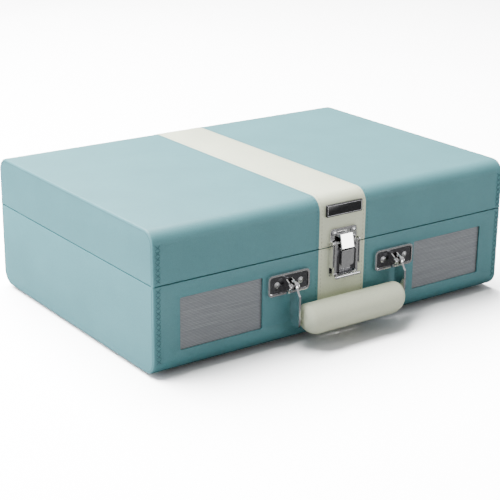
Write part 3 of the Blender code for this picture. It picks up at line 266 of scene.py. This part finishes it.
CONE = plastic("speaker_cone", (0.03, 0.03, 0.032), 0.8, 0.6, 900)
RED = plastic("red_plastic", (0.5, 0.03, 0.03), 0.3)
RUBBER = plastic("rubber", (0.03, 0.03, 0.032), 0.75, 0.4)
BOARD = plastic("circuit_board", (0.03, 0.2, 0.09), 0.4, 0.25, 700)
FELT = felt("felt", (0.03, 0.03, 0.033))
CLOTH = grille_cloth()


# ---------------------------------------------------------------- mesh helpers


def piece(name, shape, look, body, smooth=35):
    """Makes an object from a bmesh, shades it and lets it ride on a body."""
    mesh = bpy.data.meshes.new(name)
    shape.to_mesh(mesh)
    shape.free()
    made = bpy.data.objects.new(name, mesh)
    bpy.context.scene.collection.objects.link(made)
    for each in look if isinstance(look, (list, tuple)) else [look]:
        mesh.materials.append(each)
    mesh.shade_smooth()
    mesh.set_sharp_from_angle(angle=radians(smooth))
    if body:
        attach(made, body)
    return made


def box_mesh(low, high):
    shape = bmesh.new()
    bmesh.ops.create_cube(shape, size=1)
    low, high = Vector(map(min, low, high)), Vector(map(max, low, high))
    shape.transform(Matrix.Translation((low + high) / 2) @ Matrix.Diagonal((*(high - low), 1)))
    return shape


def round_edges(shape, edges, radius, segments=4):
    if edges and radius:
        bmesh.ops.bevel(shape, geom=edges, offset=radius, segments=segments, profile=0.5, affect="EDGES")


def edges_along(shape, axis, share=0.5):
    """Edges that run mostly along one axis and are long enough to be a box's own."""
    spans = [abs((e.verts[0].co - e.verts[1].co)[axis]) for e in shape.edges]
    longest = max(spans)
    return [e for e, span in zip(shape.edges, spans) if span > longest * share]


def sharp_edges(shape, degrees=50):
    return [e for e in shape.edges if e.is_manifold and e.calc_face_angle(0) > radians(degrees)]


def rounded_box(low, high, radius, axis=1, edge=0.0, segments=6, edge_segments=3):
    """A box rounded along one axis, with softer edges all round."""
    shape = box_mesh(low, high)
    round_edges(shape, edges_along(shape, axis), radius, segments)
    round_edges(shape, sharp_edges(shape), edge, edge_segments)
    return shape


def merge(target, *others):
    """Adds other bmeshes to the first."""
    for other in others:
        mesh = bpy.data.meshes.new("part")
        other.to_mesh(mesh)
        other.free()
        target.from_mesh(mesh)
        bpy.data.meshes.remove(mesh)
    return target


def apply_modifiers(made):
    graph = bpy.context.evaluated_depsgraph_get()
    mesh = bpy.data.meshes.new_from_object(made.evaluated_get(graph))
    old = made.data
    made.modifiers.clear()
    made.data = mesh
    bpy.data.meshes.remove(old)


def carve(made, cutters, operation="DIFFERENCE"):
    """Cuts or joins bmeshes and applies the result."""
    tools = []
    for number, shape in enumerate(cutters):
        mesh = bpy.data.meshes.new("cutter")
        shape.to_mesh(mesh)
        shape.free()
        tool = bpy.data.objects.new(f"cutter_{number}", mesh)
        bpy.context.scene.collection.objects.link(tool)
        tools.append(tool)
        modifier = made.modifiers.new("cut", "BOOLEAN")
        modifier.object = tool
        modifier.operation = operation
        modifier.solver = "EXACT"
    bpy.context.view_layer.update()
    apply_modifiers(made)
    for tool in tools:
        mesh = tool.data
        bpy.data.objects.remove(tool)
        bpy.data.meshes.remove(mesh)


def soften(made, width, segments=3, degrees=50):
    """A bevel on the sharp edges that a cut left."""
    shape = bmesh.new()
    shape.from_mesh(made.data)
    bmesh.ops.remove_doubles(shape, verts=shape.verts, dist=0.00001)
    bmesh.ops.dissolve_limit(shape, angle_limit=radians(0.5), verts=shape.verts, edges=shape.edges)
    shape.to_mesh(made.data)
    shape.free()
    bevel = made.modifiers.new("soften", "BEVEL")
    bevel.width = width
    bevel.segments = segments
    bevel.limit_method = "ANGLE"
    bevel.angle_limit = radians(degrees)
    bevel.use_clamp_overlap = True
    bevel.harden_normals = False
    bpy.context.view_layer.update()
    apply_modifiers(made)
    made.data.shade_smooth()
    made.data.set_sharp_from_angle(angle=radians(40))


def lathe(profile, at, axis, steps=32):
    """A turned bmesh: (radius, height) points, heights along the axis from `at`."""
    shape = bmesh.new()
    rings = []
    for radius, height in profile:
        if radius < 1e-7:
            rings.append([shape.verts.new((0, 0, height))])
        else:
            rings.append(
                [shape.verts.new((radius * cos(t), radius * sin(t), height)) for t in turns(steps)]
            )
    for first, second in zip(rings, rings[1:]):
        for i in range(steps):
            j = (i + 1) % steps
            ends = [ring[k % len(ring)] for ring, k in ((first, i), (first, j), (second, j), (second, i))]
            shape.faces.new(list(dict.fromkeys(ends)))
    bmesh.ops.recalc_face_normals(shape, faces=shape.faces)
    turn = Vector(axis).to_track_quat("Z", "Y").to_matrix().to_4x4()
    shape.transform(Matrix.Translation(Vector(at)) @ turn)
    return shape


def skin(shape, rings):
    """Joins rings of as many points each into a closed tube."""
    for first, second in zip(rings, rings[1:]):
        for k in range(len(first)):
            m = (k + 1) % len(first)
            shape.faces.new((first[k], first[m], second[m], second[k]))
    shape.faces.new(rings[0][::-1])
    shape.faces.new(rings[-1])


def turns(count):
    return [2 * pi * k / count for k in range(count)]


def lengthways_edges(shape, height):
    """The edges along X at one height."""
    return [
        e for e in shape.edges
        if all(abs(v.co.z - height) < MM for v in e.verts)
        and abs(e.verts[0].co.x - e.verts[1].co.x) > 10 * MM
    ]


def cut_rim(shape, rim, rim_up):
    """Cuts off what is past the rim, and leaves it open."""
    bmesh.ops.bisect_plane(
        shape,
        geom=[*shape.verts, *shape.edges, *shape.faces],
        plane_co=(0, 0, rim),
        plane_no=(0, 0, 1 if rim_up else -1),
        clear_outer=True,
    )


def thicken(made, thickness, inner_slot=0):
    """Gives an open skin its thickness, inwards. inner_slot is the step to the material inside."""
    solidify = made.modifiers.new("thickness", "SOLIDIFY")
    solidify.thickness = thickness
    solidify.offset = -1
    solidify.use_even_offset = True
    solidify.material_offset = inner_slot
    bpy.context.view_layer.update()
    apply_modifiers(made)


# ---------------------------------------------------------------- case


def cover(name, low, high, rim_up, body):
    """The covered board: rounded front and back corners, soft end edges, and an open rim."""
    low, high = low.copy(), high.copy()
    rim, floor = (high.z, low.z) if rim_up else (low.z, high.z)
    if rim_up:
        high.z += RIM_SPARE
    else:
        low.z -= RIM_SPARE
    shape = box_mesh(low, high)
    round_edges(shape, lengthways_edges(shape, floor), CORNER_RADIUS, 20)
    outline = [e for e in shape.edges if len({round(f.normal.x) for f in e.link_faces}) == 2]
    round_edges(shape, outline, END_EDGE_RADIUS, 5)
    cut_rim(shape, rim, rim_up)
    made = piece(name, shape, [BLUE, LINING], body)
    thicken(made, WALL, inner_slot=1)
    return made


def back_hole(x, z, radius):
    """A round cutter through the back wall."""
    reach = 2 * WALL
    profile = [(0, reach), (radius, reach), (radius, -reach), (0, -reach)]
    return lathe(profile, (x, BACK_Y, z), (0, 1, 0))


def windows(case):
    """Cuts the grille windows, with room behind them for the grille panels, and the jacks' holes."""
    cutters = []
    for side in ("left", "right"):
        low, high = corners(f"grille_{side}")
        lap = Vector((WINDOW_LAP, 0, WINDOW_LAP))
        opened_low, opened_high = low + lap, high - lap
        opened_low.y, opened_high.y = FRONT_Y - 5 * MM, FRONT_Y + 2 * WALL
        cutters.append(rounded_box(opened_low, opened_high, 1.5 * MM, segments=6))
        room = Vector((0.3 * MM, 0, 0.3 * MM))
        rebate_low, rebate_high = low - room, high + room
        rebate_low.y, rebate_high.y = FRONT_Y + 1.5 * MM, FRONT_Y + 2 * WALL
        cutters.append(rounded_box(rebate_low, rebate_high, 6 * MM, segments=4))
    for jack in ("aux_jack", "dc_jack"):
        cutters.append(back_hole(middle(jack).x, middle(jack).z, 4.3 * MM))
    low, high = corners("rca_jack_pair")
    for share in (0.25, 0.75):
        cutters.append(back_hole(low.x + (high.x - low.x) * share, (low.z + high.z) / 2, 4.5 * MM))
    carve(case, cutters)


def cases():
    base = cover("base_cover", BASE_LOW, BASE_HIGH, True, "base")
    windows(base)
    soften(base, 0.8 * MM, 3, 60)
    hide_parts("base_shell")
    lid = cover("lid_cover", LID_LOW, LID_HIGH, False, "lid")
    soften(lid, 0.8 * MM, 3, 60)
    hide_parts("lid_shell")


def outline_points(proud, rim, floor, step):
    """Points (y, z) with their normals, evenly spaced down the front, round the floor and up the back."""
    side = 1 if floor > rim else -1
    radius = CORNER_RADIUS
    front, back = FRONT_Y, BACK_Y
    straight = abs(floor - rim) - radius
    across = back - front - 2 * radius
    quarter = pi / 2 * radius
    total = 2 * straight + 2 * quarter + across
    count = int(total / step)
    points = []
    for i in range(count):
        s = (i + 0.5) * total / count
        if s < straight:
            point, normal = (front, rim + side * s), (-1, 0)
        elif s < straight + quarter:
            a = (s - straight) / radius
            normal = (-cos(a), side * sin(a))
            point = (front + radius + radius * normal[0], floor - side * radius + radius * normal[1])
        elif s < straight + quarter + across:
            point, normal = (front + radius + s - straight - quarter, floor), (0, side)
        elif s < straight + 2 * quarter + across:
            a = (s - straight - quarter - across) / radius
            normal = (sin(a), side * cos(a))
            point = (back - radius + radius * normal[0], floor - side * radius + radius * normal[1])
        else:
            point = (back, floor - side * (radius + s - straight - 2 * quarter - across))
            normal = (1, 0)
        points.append(((point[0] + normal[0] * proud, point[1] + normal[1] * proud), normal))
    return points


def band(name, rim, floor, body):
    """The cream strip that goes round the case, with its edges softened."""
    rim_up = rim > floor
    past = rim + (RIM_SPARE if rim_up else -RIM_SPARE)
    outside = floor - BAND_PROUD if rim_up else floor + BAND_PROUD
    shape = box_mesh((-BAND_HALF, FRONT_Y - BAND_PROUD, past), (BAND_HALF, BACK_Y + BAND_PROUD, outside))
    round_edges(shape, lengthways_edges(shape, outside), CORNER_RADIUS + BAND_PROUD, 20)
    bmesh.ops.delete(shape, geom=[f for f in shape.faces if abs(f.normal.x) > 0.9], context="FACES")
    cut_rim(shape, rim, rim_up)
    made = piece(name, shape, CREAM, body)
    thicken(made, BAND_THICKNESS)
    soften(made, 0.3 * MM, 3, 60)
    return made


def bead(shape, points, radius, sides=6):
    """A thin tube through the points, which lie in a plane across X."""
    rings = []
    for i, point in enumerate(points):
        before, after = points[max(i - 1, 0)], points[min(i + 1, len(points) - 1)]
        side = (Vector(after) - Vector(before)).normalized().cross(Vector((1, 0, 0)))
        ring = [Vector(point) + (side * cos(a) + Vector((sin(a), 0, 0))) * radius for a in turns(sides)]
        rings.append([shape.verts.new(at) for at in ring])
    skin(shape, rings)


def end_seams(name, rim, floor, body):
    """The line where each end panel's covering meets the strip that wraps the case."""
    shape = bmesh.new()
    points = outline_points(-2.1 * MM, rim, floor, 2 * MM)
    for x in (BASE_LOW.x, BASE_HIGH.x):
        bead(shape, [(x, y, z) for (y, z), _ in points], 0.22 * MM)
    bmesh.ops.recalc_face_normals(shape, faces=shape.faces)
    return piece(name, shape, BLUE_THREAD, body, 80)


def thread(shape, start, end, normal, width=0.8 * MM, height=0.5 * MM, sides=6):
    """One visible stitch: a short bead of thread whose ends dip into the leather."""
    start, end, normal = Vector(start), Vector(end), Vector(normal).normalized()
    run = end - start
    side = run.cross(normal).normalized()
    rings = []
    steps = 5
    for i in range(steps + 1):
        t = i / steps
        lift = height * (1 - (2 * t - 1) ** 2) - 0.12 * MM
        thick = 0.55 + 0.45 * sin(pi * t)
        centre = start + run * t + normal * lift
        offsets = [side * cos(a) * width / 2 + normal * sin(a) * height / 2 for a in turns(sides)]
        rings.append([shape.verts.new(centre + offset * thick) for offset in offsets])
    skin(shape, rings)


def cross_stitches(name, rim, floor, body, edge_x, inward):
    """Two rows of holes near a vertical edge, laced with crossing stitches."""
    near, far = 2.2 * MM, 6.6 * MM
    pitch = 4.3 * MM
    shape = bmesh.new()
    clear = 3.5 * MM
    length = abs(floor - rim) - clear - CORNER_RADIUS * 0.35
    count = int(length / pitch)
    side = 1 if floor > rim else -1
    for y, normal in ((FRONT_Y, (0, -1, 0)), (BACK_Y, (0, 1, 0))):
        for i in range(count):
            z0 = rim + side * (clear / 2 + i * pitch)
            z1 = z0 + side * pitch * 0.92
            a, b = edge_x + inward * near, edge_x + inward * far
            thread(shape, (a, y, z0), (b, y, z1), normal)
            thread(shape, (b, y, z0), (a, y, z1), normal)
    return piece(name, shape, BLUE_THREAD, body, 80)


def band_stitches(name, rim, floor, body, offset, look):
    """A run of straight stitches beside each edge of the band."""
    pitch = 3.3 * MM
    shape = bmesh.new()
    proud = BAND_PROUD if offset < BAND_HALF else 0
    points = outline_points(proud, rim, floor, pitch)
    for (y, z), (ny, nz) in points:
        along = Vector((0, -nz, ny)) * pitch * 0.3
        for x in (-offset, offset):
            centre = Vector((x, y, z))
            thread(shape, centre - along, centre + along, (0, ny, nz), 0.5 * MM, 0.3 * MM)
    return piece(name, shape, look, body, 80)


def trims():
    for label, rim, floor, body in (
        ("base", BASE_HIGH.z, BASE_LOW.z, "base"),
        ("lid", LID_LOW.z, LID_HIGH.z, "lid"),
    ):
        strip = band(f"{label}_band_cover", rim, floor, body)
        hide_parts(f"{label}_band")
        end_seams(f"{label}_end_seams", rim, floor, body)
        for side, edge, inward in (("left", BASE_LOW.x, 1), ("right", BASE_HIGH.x, -1)):
            cross_stitches(f"{label}_edge_stitches_{side}", rim, floor, body, edge, inward)
        for row, offset, look, slot in (
            ("outer", BAND_HALF + 2.2 * MM, BLUE_THREAD, "blue_leatherette"),
            ("inner", BAND_HALF - 2.4 * MM, CREAM_THREAD, "cream_leatherette"),
        ):
            band_stitches(f"{label}_band_stitches_{row}", rim, floor, body, offset, look)


# ---------------------------------------------------------------- handle


def grip():
    """The padded grip: a fat bar with flat ends, rounded tightly on top and fully underneath."""
    low, high = corners("handle_grip")
    centre = (low + high) / 2 + GRIP_SHIFT
    radius = (high.z - low.z) / 2 + GRIP_FATTER
    half = (high.x - low.x) / 2 + GRIP_LONGER
    around, bend, length = 48, 8, 14
    shape = bmesh.new()

    def ring(side, share):
        """A ring of the end's rounding: share runs from the flat end, 0, to the straight part, 1."""
        points = []
        for a in turns(around):
            corner = GRIP_TOP_ROUND + (GRIP_UNDER_ROUND - GRIP_TOP_ROUND) * (1 - cos(a)) / 2
            turn = share * pi / 2
            out = radius - corner + corner * sin(turn)
            x = side * (half - corner + corner * cos(turn))
            points.append(shape.verts.new(centre + Vector((x, -out * sin(a), out * cos(a)))))
        return points

    rings = [ring(-1, i / bend) for i in range(bend + 1)]
    for i in range(1, length):
        first = -half + GRIP_UNDER_ROUND
        x = first - 2 * first * i / length
        points = [centre + Vector((x, -radius * sin(a), radius * cos(a))) for a in turns(around)]
        rings.append([shape.verts.new(point) for point in points])
    rings += [ring(1, 1 - i / bend) for i in range(bend + 1)]
    skin(shape, rings)
    bmesh.ops.recalc_face_normals(shape, faces=shape.faces)
    made = piece("grip_cover", shape, GRIP_SKIN, "handle", 60)
    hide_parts("handle_grip")


def badge():
    """A blank black plate with a thin silver line round its face."""
    low, high = corners("name_badge")
    plate = piece(
        "badge_plate", rounded_box(low, high, 0.8 * MM, edge=0.2 * MM), GLOSS_BLACK, "lid"
    )
    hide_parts("name_badge")
    margin, line, proud = 0.7 * MM, 0.55 * MM, 0.15 * MM
    shape = bmesh.new()
    loops = []
    for inset in (margin, margin + line):
        left, right = low.x + inset, high.x - inset
        bottom, top = low.z + inset, high.z - inset
        outline = ((left, bottom), (right, bottom), (right, top), (left, top))
        loops.append([shape.verts.new((x, low.y - proud, z)) for x, z in outline])
        loops.append([shape.verts.new((x, low.y + proud, z)) for x, z in outline])
    outer, outer_back, inner, inner_back = loops
    for first, second in ((outer, inner), (outer_back, outer), (inner, inner_back)):
        for i in range(4):
            j = (i + 1) % 4
            shape.faces.new((first[i], first[j], second[j], second[i]))
    bmesh.ops.recalc_face_normals(shape, faces=shape.faces)
    piece("badge_line", shape, STEEL, "lid")


def latch_channels():
    """Dark chrome slabs at the back of the wells either side of the lever's centre panel, and under it:
    painted shade in the wells.
    """
    low, high = corners("latch_lever")
    out = FRONT_Y - low.y - LEVER_PANEL_DEPTH
    shape = bmesh.new()
    for left, right, bottom, top in (  # mm from the lever's middle and foot
        (-9.6, -6.6, 4.0, 26.0),
        (6.6, 9.6, 4.0, 26.0),
        (-9.6, 9.6, 2.9, 5.6),
        (-6.2, 6.2, 18.4, 19.6),
    ):
        well = rounded_box(
            Vector((left * MM, FRONT_Y - out - 1.7 * MM, low.z + bottom * MM)),
            Vector((right * MM, FRONT_Y - out, low.z + top * MM)),
            0.6 * MM,
            edge=0.15 * MM,
        )
        merge(shape, well)
    # near-black slabs that paint the shade in the lever's wells
    piece("lever_wells_painted_shade", shape, PAINTED_SHADE_CHROME, "latch_lever")
    lip = rounded_box(
        Vector((low.x + 0.5 * MM, low.y - 1.1 * MM, low.z + 0.2 * MM)),
        Vector((high.x - 0.5 * MM, low.y + 1 * MM, low.z + 2.9 * MM)),
        1.3 * MM,
        edge=0.8 * MM,
        edge_segments=5,
    )
    piece("lever_lip", lip, CHROME, "latch_lever")


def painted_reflection_dishes():
    """Dark chrome plates in the dished faces of the two handle brackets: a painted dark reflection."""
    for side in ("left", "right"):
        low, high = corners(f"handle_bracket_{side}")
        face = FRONT_Y - BRACKET_PROUD + DISH_DEPTH
        shape = rounded_box(
            Vector((low.x + DISH_MARGIN, face, low.z + DISH_MARGIN)),
            Vector((high.x - DISH_MARGIN, face - 0.25 * MM, high.z - DISH_MARGIN)),
            2.4 * MM,
        )
        # near-black chrome paints the dark reflection in each dish
        piece(f"bracket_dish_painted_reflection_{side}", shape, PAINTED_SHADE_CHROME, "base")


# ---------------------------------------------------------------- plain nodes


def dress(look, *names):
    for name in names:
        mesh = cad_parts[name].data
        mesh.materials.clear()
        mesh.materials.append(look)


def dress_nodes():
    dress(CLOTH, "grille_left", "grille_right")
    dress(CHROME, "handle_strap", "handle_bracket_left", "handle_bracket_right")
    dress(CHROME, "latch_keeper", "latch_lever", "latch_claw", "latch_base")
    dress(CHROME, *(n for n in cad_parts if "screw" in n or "handle_pin" in n))
    dress(STEEL, *(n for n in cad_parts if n.startswith("hinge")))
    dress(STEEL, "platter", "spindle", "arm_tube", "cue_lever", "headphone_jack", "rca_jack_pair", "motor")
    dress(RUBBER, *(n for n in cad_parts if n.startswith("foot")), "drive_belt")
    dress(BRASS, "platter_bearing", "motor_pulley")
    dress(CONE, "speaker_left", "speaker_right")
    dress(GLOSS_BLACK, "name_badge")
    dress(FELT, "slipmat")
    dress(RED, "cartridge")
    dress(BOARD, "circuit_board")
    dress(
        BLACK,
        "deck_plate", "dc_jack", "aux_jack", "arm_base", "arm_rest", "adapter_45", "arm_yoke", "cue_lift",
        "volume_knob", "speed_switch", "autostop_switch", "arm_clip",
    )


# ---------------------------------------------------------------- camera, light, floor


def camera():
    azimuth, elevation, roll = radians(-35.64), radians(19.21), radians(0.60)
    back = Vector((sin(azimuth) * cos(elevation), -cos(azimuth) * cos(elevation), sin(elevation)))
    right = (-back).cross(Vector((0, 0, 1))).normalized()
    up = right.cross(-back)
    turned_right = right * cos(roll) + up * sin(roll)
    turned_up = up * cos(roll) - right * sin(roll)
    data = bpy.data.cameras.new("camera")
    data.lens = 99.04
    data.sensor_width = 36
    made = bpy.data.objects.new("camera", data)
    bpy.context.scene.collection.objects.link(made)
    place = Matrix((turned_right, turned_up, back)).transposed().to_4x4()
    place.translation = Vector((-0.6673, -0.9172, 0.4330))
    made.matrix_world = place
    bpy.context.scene.camera = made


def area_light(name, at, toward, size, power, colour=(1, 1, 1), only=None):
    """A softbox. only is a piece that it lights alone."""
    data = bpy.data.lights.new(name, "AREA")
    data.shape = "RECTANGLE"
    data.size, data.size_y = size
    data.energy = power
    data.color = colour
    made = bpy.data.objects.new(name, data)
    bpy.context.scene.collection.objects.link(made)
    direction = Vector(toward) - Vector(at)
    made.matrix_world = Matrix.Translation(at) @ direction.to_track_quat("-Z", "Y").to_matrix().to_4x4()
    if only:
        lit = bpy.data.collections.new(f"{name}_receivers")
        lit.objects.link(only)
        made.light_linking.receiver_collection = lit


def studio():
    world = bpy.data.worlds.new("studio")
    bpy.context.scene.world = world
    world.use_nodes = True
    tree = world.node_tree
    background = tree.nodes["Background"]
    background.inputs["Strength"].default_value = 1.0
    sky = node(tree, "ShaderNodeSeparateXYZ")
    tree.links.new(coords(tree, "Generated"), sky.inputs["Vector"])
    tint = ramp(
        tree,
        sky.outputs["Z"],
        [(0.0, (0.42, 0.42, 0.43, 1)), (0.25, (0.5, 0.5, 0.52, 1)), (0.8, (0.75, 0.75, 0.75, 1))],
    )
    tree.links.new(tint, background.inputs["Color"])
    shape = bmesh.new()
    bmesh.ops.create_grid(shape, x_segments=1, y_segments=1, size=6)
    floor = piece("floor", shape, floor_material(), None)
    area_light("top_softbox", (-0.4, 0.9, 1.9), (0, 0.05, 0.05), (2.2, 1.6), 235)
    area_light("left_softbox", (-2.2, 0.5, 0.9), (0, 0, 0.05), (1.4, 1.2), 70, (0.87, 0.93, 1.0))
    area_light("front_card", (1.3, -2.0, 0.2), (0, 0, 0.07), (0.9, 0.3), 7)
    area_light("floor_softbox", (-0.4, 0.9, 1.9), (0, 0.05, 0.05), (2.6, 2.0), 1200, only=floor)


def floor_material():
    """White to look at, but it throws back little light, so the front of the case stays in shade."""
    made, tree, shader = new_material("floor", roughness=0.16)
    tint = ramp(tree, noise(tree, 3, 2.0), [(0.3, (0.93, 0.93, 0.93, 1)), (0.7, (0.95, 0.95, 0.95, 1))])
    paths = node(tree, "ShaderNodeLightPath")
    unseen = node(tree, "ShaderNodeMix", data_type="RGBA")
    unseen.inputs["A"].default_value = FLOOR_TO_REFLECTIONS
    unseen.inputs["B"].default_value = FLOOR_TO_DIFFUSE
    tree.links.new(paths.outputs["Is Diffuse Ray"], unseen.inputs["Factor"])
    seen = node(tree, "ShaderNodeMix", data_type="RGBA")
    tree.links.new(unseen.outputs["Result"], seen.inputs["A"])
    tree.links.new(tint, seen.inputs["B"])
    tree.links.new(paths.outputs["Is Camera Ray"], seen.inputs["Factor"])
    tree.links.new(seen.outputs["Result"], shader.inputs["Base Color"])
    return made


camera()
studio()
cases()
trims()
grip()
badge()
latch_channels()
painted_reflection_dishes()
dress_nodes()
